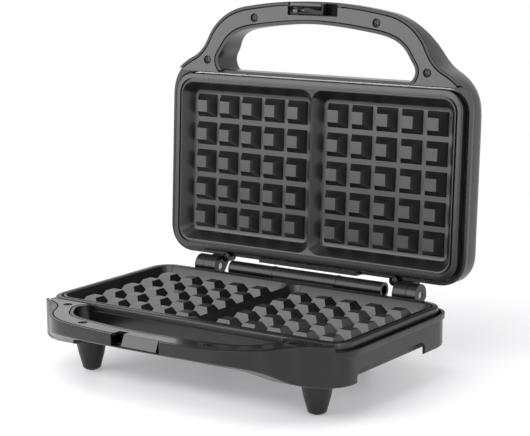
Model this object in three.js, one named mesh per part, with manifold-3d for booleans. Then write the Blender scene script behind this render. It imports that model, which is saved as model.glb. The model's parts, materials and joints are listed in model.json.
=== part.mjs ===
import * as THREE from 'three';
import { mergeVertices } from 'three/addons/utils/BufferGeometryUtils.js';
import Module from 'manifold-3d';

const wasm = await Module();
wasm.setup();

// Millimetres. x runs across, y front to back, z up. Each half is drawn with its height counted away
// from the parting plane, z = 0, where the closed halves meet; the base is then turned over and the
// lid swung open about the hinge, and the whole is lifted onto its feet.

// Body and handle
const BODY_W = 300;
const BODY_D = 163;
const REACH = 62;
const OPEN_DEG = 93.35;
const WALL = 2.5;
const GAP = 0.3;
const FACE = 0.25;
const LIP_FACE = 0.4;
const SKIRT_IN = 2;
const FLANGE_W = 2.2;
const FLANGE_TOP = 5;
const FLANGE_LOW = 9.5;
const ROOM_R = 20;
const CORNER_R = 24;
const HANDLE_HALF = 108.6;
const HANDLE_T = 10.5;
const BAR = 16.2;
const ARM_OUT = 31;
const NECK_OUT = 10.5;
const NECK_X = 126.4;
const HOLE_X = 98.4;
const COVER_T = 2.4;
const DOME_R = 26;
const DOME_H = 18;

// Arches in the base's side walls
const ARCH_FRONT_IN = 19.5;
const ARCH_REAR_IN = 44;
const ARCH_H = 11;
const ARCH_R = 6;

// Cooking plates
const RIM_CLEAR = 1.25;
const RIM_R = 18;
const RIM_W = 4.6;
const RIM_H = 6.3;
const CHANNEL_W = 1.7;
const CHANNEL_DEEP = 2.1;
const LAND_X = 1.2;
const LAND_Y = 1.9;
const CAVITY_DEEP = 11.1;
const DRAFT = 0.627;
const PITCH = 24;
const BUMP = 20.1;
const BUMP_TOP = 10.2;
const BUMP_H = 8.9;
const EDGE = 3.5;
const CAST = 3.5;
const DIVIDER_T = 2.4;
const DIVIDER_LOW = 2.2;

// Heat tray, element, pan and feet
const TUBE_R = 2.9;
const SHEET = 0.8;
const TRAY_R = 17.7;
const TRAY_IN_X = 4.7;
const TRAY_IN_Y = 7.4;
const TRAY_RISE = 4.2;
const TRAY_CLEAR = 1.6;
const LEDGE_T = 2.5;
const TERMINAL_H = 3.8;
const TERMINAL_CLEAR = 0.6;
const PAN_T = 2;
const PAN_UP = 3.6;
const PAN_R = 8;
const PAN_CLEAR_X = 2.5;
const PAN_CLEAR_Y = 6.5;
const PAN_POST = 5.7;
const FOOT_H = 32.8;
const FOOT_R = 6.3;
const FOOT_SLOPE = 0.336;
const FOOT_CLEAR = 0.9;
const FOOT_KNEE = 11;
const PAD_R = 3.6;
const FRONT_FOOT_IN = [31.3, 11.5];
const REAR_FOOT_IN = [72.2, 9.7];
const LID_ROOM = 18;

// Hinge and rear wall
const HINGE_OUT = 9.4;
const PIN_R = 3;
const PIN_CLEAR = 0.25;
const EAR_IN = 103.2;
const BASE_EAR_W = 9;
const LID_EAR_W = 12.6;
const EAR_CLEAR = 0.1;
const BASE_EAR_FOOT = 21;
const LID_EAR_FOOT = 17;
const TUNNEL_HALF = 38.5;
const TUNNEL_CLEAR = 2.8;
const TUNNEL_BORE = 4.2;
const REAR_BOSS_R = 4.3;
const REAR_LIP_HALF = 50;
const REAR_LIP_OUT = 1.2;
const GLAND_X = 61.6;
const GLAND_R = 6;
const GLAND_LONG = 9;

// Screws, lamps and latch
const SCREW_R = 1.5;
const HEAD_R = 3.1;
const HEAD_T = 1.3;
const SLIT = 0.8;
const POST_R = 4;
const BORE_CLEAR = 0.2;
const NECK_SCREW = [110.3, 8.5];
const BOW_SCREW = [61.1, 15.5];
const LENS_X = 16;
const LENS_Y = -34.2;
const LENS_R = 4;
const LATCH_LEFT = -26.3;
const LATCH_LONG = 34;
const LATCH_TRAVEL = 14;
const LATCH_CLEAR = 0.4;
const LATCH_SET = 1.4;
const LATCH_BACK = 11.2;
const TOOTH_IN = 8;
const TOOTH_W = 5;
const TOOTH_SET = 6.6;
const TOOTH_T = 2;
const CLAW_OUT = 2.2;
const CLAW_T = 1.4;
const GATE_CLEAR = 2;
const FLAP_W = 26.2;
const NOTCH_DEEP = 5.6;

// Sizes that follow
const HW = BODY_W / 2;
const HD = BODY_D / 2;
const FRONT = -HD - REACH;
const ROOM_X = HW - SKIRT_IN - WALL;
const ROOM_Y = HD - WALL;
const PLATE_X = ROOM_X - RIM_CLEAR;
const PLATE_Y = ROOM_Y - RIM_CLEAR;
const LIP_X = PLATE_X - RIM_W - CHANNEL_W - LAND_X;
const LIP_Y = PLATE_Y - RIM_W - CHANNEL_W - LAND_Y;
const RUN = DRAFT * (CAVITY_DEEP - FACE);
const FLOOR_X = LIP_X - RUN;
const FLOOR_Y = LIP_Y - RUN;
const UNDER = CAVITY_DEEP + CAST;
const TRAY_TOP = UNDER - TRAY_RISE;
const TRAY_LOW = UNDER + 2 * TUBE_R + TRAY_CLEAR;
const TRAY_X = PLATE_X - TRAY_IN_X;
const TRAY_Y = PLATE_Y - TRAY_IN_Y;
const LEDGE_TOP = TRAY_TOP + SHEET + GAP;
const LEDGE_LOW = LEDGE_TOP + LEDGE_T;
const PAN_X = ROOM_X - PAN_CLEAR_X;
const PAN_Y = ROOM_Y - PAN_CLEAR_Y;
const PAN_LOW = TRAY_LOW + TERMINAL_CLEAR + TERMINAL_H + GAP + PAN_T;
const POST_LOW = PAN_LOW - PAN_T - GAP;
const BASE_H = PAN_LOW + PAN_UP;
const LID_H = TRAY_LOW + LID_ROOM;
const GROUND = PAN_LOW + FOOT_H;
const HINGE_Y = HD + HINGE_OUT;
const EAR_R = HINGE_OUT - EAR_CLEAR;
const EAR_OUT = EAR_IN + LATCH_CLEAR + BASE_EAR_W;
const TUNNEL_R = HINGE_OUT - TUNNEL_CLEAR;
const HOLE_FRONT = FRONT + WALL + BAR;
const COVER_LOW = FACE + COVER_T;
const POST_TOP = COVER_LOW + GAP;
const SCREWS = [[NECK_SCREW[0], -HD - NECK_SCREW[1]], [BOW_SCREW[0], FRONT + BOW_SCREW[1]]];
const REAR_BOSS = [EAR_IN - LID_EAR_W - GAP - REAR_BOSS_R, PLATE_Y + GAP + REAR_BOSS_R];
const PLATE_BOSS_Y = FLOOR_Y - 11.3;
const GLAND_Z = LEDGE_LOW + GLAND_R + 0.8;
const LATCH_RIGHT = LATCH_LEFT + LATCH_LONG + LATCH_TRAVEL + 3 * LATCH_CLEAR;
const LATCH_FLOOR = HANDLE_T - WALL + 0.2;
const LATCH_ROOM = FRONT + LATCH_BACK + GAP;
const TOOTH_LEFT = LATCH_LEFT + TOOTH_IN;
const TOOTH_RIGHT = TOOTH_LEFT + TOOTH_W;
const CLAW_TOP = COVER_LOW + 0.35;
const CLAW_LOW = CLAW_TOP + CLAW_T;
const GATE_LEFT = -TOOTH_RIGHT - GATE_CLEAR;
const GATE_RIGHT = -TOOTH_LEFT + GATE_CLEAR;
const FLAP_RIGHT = GATE_LEFT - GAP;
const FLAP_LEFT = FLAP_RIGHT - FLAP_W;
const FLAP_LOW = HANDLE_T - 1.6;
const NOTCH_LEFT = FLAP_LEFT - 3.6;
const NOTCH_RIGHT = GATE_RIGHT + GAP;

const MATS = {
  satin: [0x343335, 0.5, 0], gloss: [0x5a5a5c, 0.2, 0], coated: [0x3a3a3c, 0.45, 0.3],
  steel: [0xb9bbbd, 0.35, 0.9], dark: [0x29282b, 0.6, 0], rubber: [0x1c1b1d, 0.9, 0],
  lampred: [0xb3221b, 0.25, 0], lampgreen: [0x2f9a3c, 0.25, 0], bakelite: [0x4a3226, 0.7, 0],
  white: [0xe4e2dc, 0.6, 0],
};

function solid(geometry) {
  const bare = new THREE.BufferGeometry();
  bare.setAttribute('position', geometry.getAttribute('position').clone());
  if (geometry.index) bare.setIndex(geometry.index.clone());
  const g = mergeVertices(bare, 1e-4);
  return new wasm.Manifold(new wasm.Mesh({
    numProp: 3,
    vertProperties: new Float32Array(g.getAttribute('position').array),
    triVerts: new Uint32Array(g.index.array),
  }));
}

const add = (...parts) => parts.reduce((a, b) => a.add(b));
const cut = (body, ...parts) => parts.reduce((a, b) => a.subtract(b), body);

function toGeometry(body) {
  const mesh = body.getMesh();
  const g = new THREE.BufferGeometry();
  g.setAttribute('position', new THREE.BufferAttribute(Float32Array.from(mesh.vertProperties), 3));
  g.setIndex(Array.from(mesh.triVerts));
  return g;
}

// Closed loops of points, counter-clockwise
function loopInset(points, d) {
  const n = points.length;
  return points.map((p, i) => {
    const a = points[(i + n - 1) % n];
    const b = points[(i + 1) % n];
    const e1 = p.clone().sub(a).normalize();
    const e2 = b.clone().sub(p).normalize();
    const n1 = new THREE.Vector2(-e1.y, e1.x);
    const n2 = new THREE.Vector2(-e2.y, e2.x);
    return p.clone().addScaledVector(n1.clone().add(n2), d / (1 + n1.dot(n2)));
  });
}

function rounded(x0, x1, y0, y1, r, steps = 5) {
  const points = [];
  const corners = [[x1 - r, y0 + r, -90], [x1 - r, y1 - r, 0], [x0 + r, y1 - r, 90], [x0 + r, y0 + r, 180]];
  for (const [cx, cy, start] of corners) {
    for (let i = 0; i <= steps; i++) {
      const a = THREE.MathUtils.degToRad(start + 90 * (steps ? i / steps : 0.5));
      points.push(new THREE.Vector2(cx + r * Math.cos(a), cy + r * Math.sin(a)));
    }
  }
  return points;
}

const frameLoop = (x, y, r, steps) => rounded(-x, x, -y, y, r, steps);

function mirrorLoop(half) {
  const left = half.filter((p) => p.x > 1e-6).map((p) => new THREE.Vector2(-p.x, p.y)).reverse();
  return half.concat(left);
}

function slab(loop, z0, z1) {
  const g = new THREE.ExtrudeGeometry(new THREE.Shape(loop), { depth: z1 - z0, bevelEnabled: false });
  return solid(g.translate(0, 0, z0));
}

function prismX(loop, x0, x1) {
  const g = new THREE.ExtrudeGeometry(new THREE.Shape(loop), { depth: x1 - x0, bevelEnabled: false });
  const basis = new THREE.Matrix4().makeBasis(
    new THREE.Vector3(0, 1, 0), new THREE.Vector3(0, 0, 1), new THREE.Vector3(1, 0, 0));
  return solid(g.translate(0, 0, x0).applyMatrix4(basis));
}

function box(x0, x1, y0, y1, z0, z1) {
  const g = new THREE.BoxGeometry(x1 - x0, y1 - y0, z1 - z0);
  return solid(g.translate((x0 + x1) / 2, (y0 + y1) / 2, (z0 + z1) / 2));
}

function rod(x, y, z0, z1, r0, r1 = r0, steps = 18) {
  const g = new THREE.CylinderGeometry(r1, r0, z1 - z0, steps);
  return solid(g.rotateX(Math.PI / 2).translate(x, y, (z0 + z1) / 2));
}

function rodX(x0, x1, y, z, r, steps = 24) {
  const g = new THREE.CylinderGeometry(r, r, x1 - x0, steps);
  return solid(g.rotateZ(Math.PI / 2).translate((x0 + x1) / 2, y, z));
}

function turned(profile, x, y, steps = 24) {
  const points = profile.map(([r, z]) => new THREE.Vector2(r, z));
  const g = new THREE.LatheGeometry(points, steps);
  return solid(g.rotateX(Math.PI / 2).translate(x, y, 0));
}

// A skin through loops of equal length, each at its own height
function stack(levels) {
  const n = levels[0][0].length;
  const position = [];
  const index = [];
  for (const [loop, z] of levels) for (const p of loop) position.push(p.x, p.y, z);
  for (let k = 0; k < levels.length - 1; k++) {
    for (let i = 0; i < n; i++) {
      const a = k * n + i;
      const b = k * n + (i + 1) % n;
      index.push(a, b, b + n, a, b + n, a + n);
    }
  }
  const last = (levels.length - 1) * n;
  for (const [a, b, c] of THREE.ShapeUtils.triangulateShape(levels[0][0], [])) index.push(c, b, a);
  for (const [a, b, c] of THREE.ShapeUtils.triangulateShape(levels[levels.length - 1][0], [])) {
    index.push(last + a, last + b, last + c);
  }
  const g = new THREE.BufferGeometry();
  g.setAttribute('position', new THREE.Float32BufferAttribute(position, 3));
  g.setIndex(index);
  return solid(g);
}

// Plan of either half: bowed handle, waisted arms, square body with round corners
function planLoop() {
  const s = new THREE.Shape();
  const arm = -HD - ARM_OUT;
  const neck = -HD - NECK_OUT;
  s.moveTo(0, FRONT);
  s.bezierCurveTo(HANDLE_HALF * 0.3, FRONT, HANDLE_HALF * 0.48, FRONT + 3, HANDLE_HALF * 0.65, FRONT + 6);
  s.bezierCurveTo(HANDLE_HALF * 0.81, FRONT + 9, HANDLE_HALF * 0.93, arm - 13, HANDLE_HALF, arm);
  s.bezierCurveTo(HANDLE_HALF + 4.5, arm + 9, NECK_X - 10, neck - 5, NECK_X, neck);
  s.bezierCurveTo(NECK_X + 15, neck + 7.5, HW, neck + 16, HW, -HD + 25);
  s.lineTo(HW, HD - CORNER_R);
  s.bezierCurveTo(HW, HD - 9, HW - 10, HD, HW - CORNER_R, HD);
  s.lineTo(0, HD);
  return mirrorLoop(dedupe(s.getPoints(6)));
}

function dedupe(points) {
  return points.filter((p, i) => i === 0 || p.distanceTo(points[i - 1]) > 0.01);
}

// Finger opening between the handle and the body
function holeLoop(grow) {
  const s = new THREE.Shape();
  s.moveTo(0, HOLE_FRONT);
  s.bezierCurveTo(HOLE_X * 0.2, HOLE_FRONT, HOLE_X * 0.45, HOLE_FRONT + 2.8, HOLE_X * 0.66, HOLE_FRONT + 6);
  s.bezierCurveTo(HOLE_X * 0.81, HOLE_FRONT + 8.8, HOLE_X * 0.88, HOLE_FRONT + 13, HOLE_X * 0.935,
    HOLE_FRONT + 21);
  s.bezierCurveTo(HOLE_X * 0.98, HOLE_FRONT + 29, HOLE_X * 1.03, -HD - 12, HOLE_X, -HD - 5);
  s.bezierCurveTo(HOLE_X * 0.985, -HD - 2, HOLE_X * 0.965, -HD, HOLE_X * 0.94, -HD);
  s.lineTo(0, -HD);
  const loop = mirrorLoop(dedupe(s.getPoints(5)));
  return loopInset(loop, -grow);
}

// Height of the handle's outer side, rising into the body
function sideLoop(low, height, tail) {
  const s = new THREE.Shape();
  s.moveTo(FRONT - 5, low);
  s.lineTo(HD + 20, low);
  s.lineTo(HD + 20, tail);
  s.lineTo(-HD - 2, height);
  s.bezierCurveTo(-HD - 24, height, -HD - 28, HANDLE_T + 5.5, FRONT, HANDLE_T);
  s.lineTo(FRONT - 5, HANDLE_T - 1);
  return dedupe(s.getPoints(10));
}

function scaled(loop, d) {
  return loop.map((p) => new THREE.Vector2(p.x * (HW - d) / HW, p.y * (HD - d) / HD));
}

const spots = (pairs) => pairs.flatMap(([x, y]) => [[x, y], [-x, y]]);
const rods = (pairs, z0, z1, r) => spots(pairs).map(([x, y]) => rod(x, y, z0, z1, r));

// Takes in the side walls behind the neck, below the flange
function skirtCut() {
  const span = HW + 20;
  const narrow = planLoop().map((p) => new THREE.Vector2(p.x * (HW - SKIRT_IN) / HW, p.y * 1.1));
  const ring = cut(slab(frameLoop(span, span, 1), FLANGE_LOW, LID_H + 9), slab(narrow, 0, LID_H + 10));
  return ring.intersect(box(-span, span, -HD + 20, HD - 1, 0, LID_H + 12));
}

// Walls, flange and handle channel shared by both halves; heights count away from the parting plane
function halfShell(outer, inner, side, sideIn) {
  const plan = planLoop();
  const far = HW + 9;
  const flangeCut = box(-far, far, -HD - 0.1, HD + 9, -1, FLANGE_TOP);
  const recess = slab(frameLoop(HW - FLANGE_W, ROOM_Y, ROOM_R), -1, FLANGE_LOW - 2);
  const channel = cut(slab(loopInset(plan, WALL), -1, LID_H), slab(holeLoop(WALL), -2, LID_H + 1));
  const hollow = channel.intersect(sideIn).intersect(box(-HW, HW, FRONT, -HD + GAP, -1, LID_H));
  const posts = rods(SCREWS, POST_TOP, LID_H, POST_R).map((p) => p.intersect(outer).intersect(side));
  const shell = add(cut(outer.intersect(side), flangeCut, skirtCut(), inner, recess, hollow), ...posts);
  return cut(shell, slab(holeLoop(0), -2, LID_H + 9), ...rods(SCREWS, 0, 8.6, SCREW_R + BORE_CLEAR));
}

// Shelf round the inside of a half, which the tray's flange rests on
function ledge() {
  return cut(slab(frameLoop(ROOM_X + 0.6, ROOM_Y + 0.6, ROOM_R), LEDGE_TOP, LEDGE_LOW),
    slab(frameLoop(TRAY_X + GAP, TRAY_Y + GAP, TRAY_R), LEDGE_TOP - 1, LEDGE_LOW + 1));
}

function baseShell() {
  const outer = slab(planLoop(), LIP_FACE, BASE_H);
  const inner = slab(frameLoop(ROOM_X, ROOM_Y, ROOM_R), -1, BASE_H + 1);
  const [side, sideIn] = sideBlocks(BASE_H, BASE_H);
  const far = HW + 9;
  const arch = prismX(rounded(-HD + ARCH_FRONT_IN, HD - ARCH_REAR_IN, BASE_H - ARCH_H, BASE_H + 9, ARCH_R),
    -far, far);
  const notch = box(NOTCH_LEFT, NOTCH_RIGHT, FRONT - 5, FRONT + NOTCH_DEEP, -1, HANDLE_T - 1.2);
  const posts = panPosts();
  const shell = add(cut(halfShell(outer, inner, side, sideIn), arch, notch), ledge(),
    ...ears(BASE_EAR_FOOT, EAR_IN + LATCH_CLEAR, EAR_OUT),
    ...posts.map(([x, y]) => rod(x, y, LEDGE_TOP, POST_LOW, 2.8)));
  const bores = posts.map(([x, y]) => rod(x, y, LEDGE_LOW, PAN_LOW, SCREW_R + BORE_CLEAR));
  return cut(shell, ...bores, rodY(GLAND_X, HD - 9, HD + 9, GLAND_Z, GLAND_R - 0.6), catchPocket(), pinBore());
}

// The side view of a half's outside as a block, and the same block a wall's thickness in
function sideBlocks(height, tail) {
  const loop = sideLoop(-3, height, tail);
  const far = HW + 10;
  return [prismX(loop, -far, far),
    prismX(loop.map((p) => new THREE.Vector2(p.x, p.y - WALL)), -far + 1, far - 1)];
}

function panPosts() {
  const x = PAN_X - PAN_POST;
  const y = PAN_Y - PAN_POST;
  return spots([[x, -y], [x, y]]);
}

// Room behind the gate for the latch's tooth
function catchPocket() {
  return box(GATE_LEFT + GAP, GATE_RIGHT - GAP, FRONT + 1, FRONT + TOOTH_SET + TOOTH_T + 0.9, -1,
    CLAW_LOW + 2);
}

function rodY(x, y0, y1, z, r) {
  const g = new THREE.CylinderGeometry(r, r, y1 - y0, 24);
  return solid(g.translate(x, (y0 + y1) / 2, z));
}

function pinBore() {
  return rodX(-HW, HW, HINGE_Y, 0, PIN_R + PIN_CLEAR);
}

// Hinge ears reaching from the rear wall to the pin
function ears(foot, x0, x1) {
  const s = new THREE.Shape();
  const root = HD - 1;
  s.moveTo(root, FLANGE_LOW);
  s.lineTo(HINGE_Y - EAR_R + 1.2, 1.5);
  s.absarc(HINGE_Y, 0, EAR_R, Math.PI - 0.2, 0, false);
  s.lineTo(HINGE_Y + EAR_R, 3);
  s.lineTo(root, foot);
  const loop = dedupe(s.getPoints(14));
  const ccw = THREE.ShapeUtils.isClockWise(loop) ? loop.reverse() : loop;
  return [prismX(ccw, x0, x1), prismX(ccw, -x1, -x0)];
}

// A loop and its copies drawn in and raised along a quarter circle
function domed(loop, bottom, height, steps) {
  return steps.map((degrees) => {
    const a = THREE.MathUtils.degToRad(degrees);
    return [scaled(loop, DOME_R * (1 - Math.cos(a))), bottom + height * Math.sin(a)];
  });
}

function lidOuter() {
  const plan = planLoop();
  return stack([[plan, LIP_FACE], ...domed(plan, LID_H - DOME_H, DOME_H, [0, 18, 36, 54, 70, 82]),
    [scaled(plan, 2.3 * DOME_R), LID_H]]);
}

function lidInner() {
  const room = frameLoop(ROOM_X, ROOM_Y, ROOM_R);
  const bottom = LID_H - DOME_H - 2;
  const height = DOME_H - 0.6;
  return stack([[room, -1], ...domed(room, bottom, height, [0, 18, 36, 54, 70, 82]),
    [scaled(room, 2.3 * DOME_R), LID_H - WALL]]);
}

// Seat of the latch bar, let into the handle's bow
function latchBed(side) {
  const around = box(LATCH_LEFT - 2, LATCH_RIGHT + 2, FRONT, LATCH_ROOM + 2, POST_TOP, LATCH_FLOOR + WALL);
  return around.intersect(slab(loopInset(planLoop(), GAP), 0, LATCH_FLOOR + 5)).intersect(side);
}

function lidShell() {
  const [side, sideIn] = sideBlocks(LID_H - 6, LID_H + 30);
  const lip = box(-REAR_LIP_HALF, REAR_LIP_HALF, HD - WALL, HD + REAR_LIP_OUT, LIP_FACE, FLANGE_LOW);
  const shell = add(halfShell(lidOuter(), lidInner(), side, sideIn), ledge(), lip, latchBed(side),
    ...rods([REAR_BOSS], 0.6, 10, REAR_BOSS_R), ...ears(LID_EAR_FOOT, EAR_IN - LID_EAR_W, EAR_IN));
  const bores = rods([REAR_BOSS], 0, 9.5, SCREW_R + BORE_CLEAR);
  const seats = rods([REAR_BOSS], 0, 2.8, HEAD_R + BORE_CLEAR);
  const windows = rods([[LENS_X, LENS_Y]], LID_H - 8, LID_H + 3, LENS_R);
  const latchRoom = box(LATCH_LEFT, LATCH_RIGHT, FRONT - 5, LATCH_ROOM, -1, LATCH_FLOOR);
  return cut(shell, latchRoom, ...windows, ...bores, ...seats, pinBore());
}

// Plate that closes a handle's channel, with sunk screw holes
function handleCover() {
  const rim = loopInset(planLoop(), WALL + GAP);
  const region = box(-HW, HW, FRONT, -PLATE_Y - 2, FACE, COVER_LOW);
  const cover = cut(slab(rim, FACE, COVER_LOW).intersect(region), slab(holeLoop(WALL + GAP), -1, 9));
  return cut(cover, ...rods(SCREWS, -1, 9, SCREW_R + BORE_CLEAR),
    ...rods(SCREWS, -1, FACE + 1.8, HEAD_R + BORE_CLEAR));
}

function lidCover() {
  return cut(handleCover(),
    box(LATCH_LEFT - GAP, LATCH_RIGHT + GAP, FRONT - 1, LATCH_ROOM + GAP, -1, 9));
}

// The base's plate also has a flap down the handle's front, a gate for the tooth and a track beside it
function baseCover() {
  const flap = box(FLAP_LEFT, FLAP_RIGHT, FRONT + 0.6, FRONT + NOTCH_DEEP - 0.4, FACE, FLAP_LOW);
  const gate = box(GATE_LEFT, GATE_RIGHT, FRONT, FRONT + TOOTH_SET + TOOTH_T + CLAW_OUT + 0.6, -1, 9);
  const trackLeft = -TOOTH_RIGHT - LATCH_TRAVEL - 1.3;
  const toothBack = FRONT + TOOTH_SET + TOOTH_T;
  const track = box(trackLeft, GATE_LEFT + 1, toothBack - TOOTH_T - 0.6, toothBack + 0.6, -1, 9);
  const open = box(NOTCH_LEFT - GAP, FLAP_LEFT - GAP, FRONT - 1, FRONT + NOTCH_DEEP - 1.2, -1, 9);
  return cut(add(handleCover(), flap), gate, track, open);
}

// Cast plate: two cavities of pyramids in a shared rim, with a drip channel outside the lip
function castPlate() {
  const edge = frameLoop(PLATE_X, PLATE_Y, RIM_R);
  const rim = stack([[loopInset(edge, 1.1), FACE], [loopInset(edge, 0.35), FACE + 0.45], [edge, FACE + 1.3],
    [edge, RIM_H + 0.2]]);
  const under = slab(loopInset(edge, 2.6), FACE + 3, RIM_H + 1);
  const dish = stack([[frameLoop(LIP_X + 3, LIP_Y + 3, 14), FACE + 1],
    [frameLoop(LIP_X + 3, LIP_Y + 3, 14), FACE + 2.8], [frameLoop(FLOOR_X + 3, FLOOR_Y + 3, 10), UNDER]]);
  const divider = box(-DIVIDER_T / 2, DIVIDER_T / 2, -LIP_Y + 3, LIP_Y - 3, DIVIDER_LOW, UNDER - 1);
  const open = cut(add(cut(rim, under), dish), cavity(false), cavity(true), dripChannel());
  return add(open, divider, ...pyramids(), ...plateFeet());
}

function cavity(leftSide) {
  const turn = (loop) => (leftSide ? loop.map((p) => new THREE.Vector2(-p.x, p.y)).reverse() : loop);
  const lip = rounded(-0.4, LIP_X, -LIP_Y, LIP_Y, 11);
  const floor = rounded(RUN, FLOOR_X, -FLOOR_Y, FLOOR_Y, 6);
  return stack([[turn(loopInset(lip, -0.66)), FACE - 1], [turn(lip), FACE], [turn(floor), CAVITY_DEEP]]);
}

function dripChannel() {
  const x = LIP_X + LAND_X;
  const y = LIP_Y + LAND_Y;
  return cut(slab(frameLoop(x + CHANNEL_W, y + CHANNEL_W, 13.5), FACE - 1, FACE + CHANNEL_DEEP),
    slab(frameLoop(x, y, 12), FACE - 2, FACE + CHANNEL_DEEP + 1));
}

// Pads and screw bosses under a plate
function plateFeet() {
  const low = TRAY_LOW - SHEET - GAP;
  const x = FLOOR_X - 9;
  const y = FLOOR_Y - 8;
  const pads = spots([[x, -y], [x, y]]).map(([px, py]) => rod(px, py, UNDER - 1, low, 4, 4, 20));
  const posts = [-1, 1].map((k) => cut(rod(0, k * PLATE_BOSS_Y, UNDER - 1, low, 5),
    rod(0, k * PLATE_BOSS_Y, UNDER - 0.5, low + 1, SCREW_R + BORE_CLEAR)));
  return [...pads, ...posts];
}

// Middles of the pyramids across a stretch, as near the pitch as fits it evenly
function spread(from, to) {
  const first = from + EDGE + BUMP / 2;
  const last = to - EDGE - BUMP / 2;
  const count = Math.round((last - first) / PITCH);
  return Array.from({ length: count + 1 }, (_, i) => first + (last - first) * i / count);
}

function pyramids() {
  const out = [];
  for (const side of [-1, 1]) {
    for (const x of spread(RUN, FLOOR_X)) {
      for (const y of spread(-FLOOR_Y, FLOOR_Y)) out.push(pyramid(side * x, y));
    }
  }
  return out;
}

function pyramid(x, y) {
  const square = (w) => rounded(x - w / 2, x + w / 2, y - w / 2, y + w / 2, 0.01, 0);
  return stack([[square(BUMP_TOP), CAVITY_DEEP - BUMP_H], [square(BUMP), CAVITY_DEEP],
    [square(BUMP), CAVITY_DEEP + 0.4]]);
}

// Sheet tray under a plate, hung by its flange
function reflector() {
  const opening = frameLoop(TRAY_X - SHEET, TRAY_Y - SHEET, TRAY_R - SHEET);
  const wall = cut(slab(frameLoop(TRAY_X, TRAY_Y, TRAY_R), TRAY_TOP, TRAY_LOW),
    slab(opening, TRAY_TOP - 1, TRAY_LOW - SHEET));
  const flange = cut(slab(frameLoop(ROOM_X - 0.6, ROOM_Y - 0.6, ROOM_R - 0.6), TRAY_TOP, TRAY_TOP + SHEET),
    slab(opening, TRAY_TOP - 1, TRAY_TOP + 2));
  const bores = [-1, 1].map((k) => rod(0, k * PLATE_BOSS_Y, TRAY_LOW - 3, TRAY_LOW + 3, SCREW_R + BORE_CLEAR));
  return cut(add(wall, flange), ...bores);
}

// Sheathed heater bent into a U, with a terminal pin at each end
function element() {
  const x = FLOOR_X - 26;
  const r = FLOOR_Y - 28.3;
  const z = UNDER + GAP + TUBE_R;
  const path = new THREE.CurvePath();
  path.add(new THREE.LineCurve3(new THREE.Vector3(-x, -r, z), new THREE.Vector3(x - r, -r, z)));
  const arc = [];
  for (let i = 0; i <= 16; i++) {
    const a = -Math.PI / 2 + Math.PI * i / 16;
    arc.push(new THREE.Vector3(x - r + r * Math.cos(a), r * Math.sin(a), z));
  }
  path.add(new THREE.CatmullRomCurve3(arc));
  path.add(new THREE.LineCurve3(new THREE.Vector3(x - r, r, z), new THREE.Vector3(-x, r, z)));
  const ring = new THREE.Shape();
  ring.absarc(0, 0, TUBE_R, 0, 2 * Math.PI, false);
  const g = new THREE.ExtrudeGeometry(ring,
    { steps: 36, extrudePath: path, bevelEnabled: false, curveSegments: 5 });
  const ends = [-1, 1].map((k) => rodX(-x - 7, -x + 1, k * r, z, 1.2, 12));
  return add(solid(g), ...ends);
}

// Slotted screw; its shank runs away from the parting plane, or towards it from below
function screw(x, y, face, length, below = false) {
  const span = (from, to) => (below ? [face - to, face - from] : [face + from, face + to]);
  const slit = box(x - 2.2, x + 2.2, y - SLIT / 2, y + SLIT / 2, ...span(-1, 0.6));
  const head = rod(x, y, ...span(0, HEAD_T), HEAD_R);
  return cut(add(head, rod(x, y, ...span(1, length), SCREW_R, SCREW_R, 10)), slit);
}

// Vented sheet closing the base
function pan() {
  const edge = frameLoop(PAN_X, PAN_Y, PAN_R, 4);
  const outer = stack([[edge, LEDGE_LOW + GAP], [edge, PAN_LOW - 1.5], [loopInset(edge, 1.5), PAN_LOW]]);
  const inner = slab(loopInset(edge, 1.6), LEDGE_LOW - 1, PAN_LOW - PAN_T);
  const vents = [];
  for (let i = -4; i <= 4; i++) {
    vents.push(slab(rounded(i * 9 - 1.6, i * 9 + 1.6, -14, 14, 1.5, 3), PAN_LOW - 3, PAN_LOW + 1));
  }
  const bores = panPosts().map(([x, y]) => rod(x, y, PAN_LOW - 4, PAN_LOW + 1, SCREW_R + BORE_CLEAR));
  return cut(outer, inner, ...vents, ...bores);
}

// Tapered foot under the pan, with a socket for its pad
function foot(x, y) {
  const top = PAN_LOW + GAP;
  const end = GROUND - FOOT_CLEAR;
  const toe = end - 2.5;
  const knee = top + FOOT_KNEE;
  const wide = FOOT_R + FOOT_SLOPE * (toe - knee);
  const cone = turned([[0, top], [wide + 1.6, top], [wide, knee], [FOOT_R, toe], [FOOT_R - 0.5, end - 1.1],
    [FOOT_R - 1.6, end], [0, end]], x, y);
  return cut(cone, rod(x, y, GROUND - 1.8, GROUND + 1, PAD_R + GAP));
}

function glandPiece() {
  const wall = HD - WALL;
  return cut(add(rodY(GLAND_X, wall - 2.3, wall - GAP, GLAND_Z, GLAND_R),
    rodY(GLAND_X, wall - 1, HD + 1, GLAND_Z, GLAND_R - 1),
    rodY(GLAND_X, HD + GAP, HD + GLAND_LONG, GLAND_Z, GLAND_R)),
  rodY(GLAND_X, HD - 9, HD + GLAND_LONG + 3, GLAND_Z, 2.9));
}

// Slide bar in the lid's handle; its tooth passes the gate in the base and slides behind the flap
function latch() {
  const left = LATCH_LEFT + LATCH_CLEAR;
  const right = left + LATCH_LONG;
  const bar = box(left, right, FRONT + LATCH_SET, FRONT + LATCH_BACK, 1.6, LATCH_FLOOR - GAP);
  const ridge = box(left + 2, right - 2, FRONT + LATCH_SET, FRONT + LATCH_SET + 2.8, FACE + 0.05, 2);
  const groove = box(left + 3, right - 3, FRONT + 6.8, FRONT + 9.2, 1, 2.4);
  const tooth = FRONT + TOOTH_SET;
  const stem = box(TOOTH_LEFT, TOOTH_RIGHT, tooth, tooth + TOOTH_T, -CLAW_LOW, 2);
  const claw = box(TOOTH_LEFT, TOOTH_RIGHT, tooth + 1.4, tooth + TOOTH_T + CLAW_OUT, -CLAW_LOW, -CLAW_TOP);
  return cut(add(bar, ridge, stem, claw), groove);
}

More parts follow.
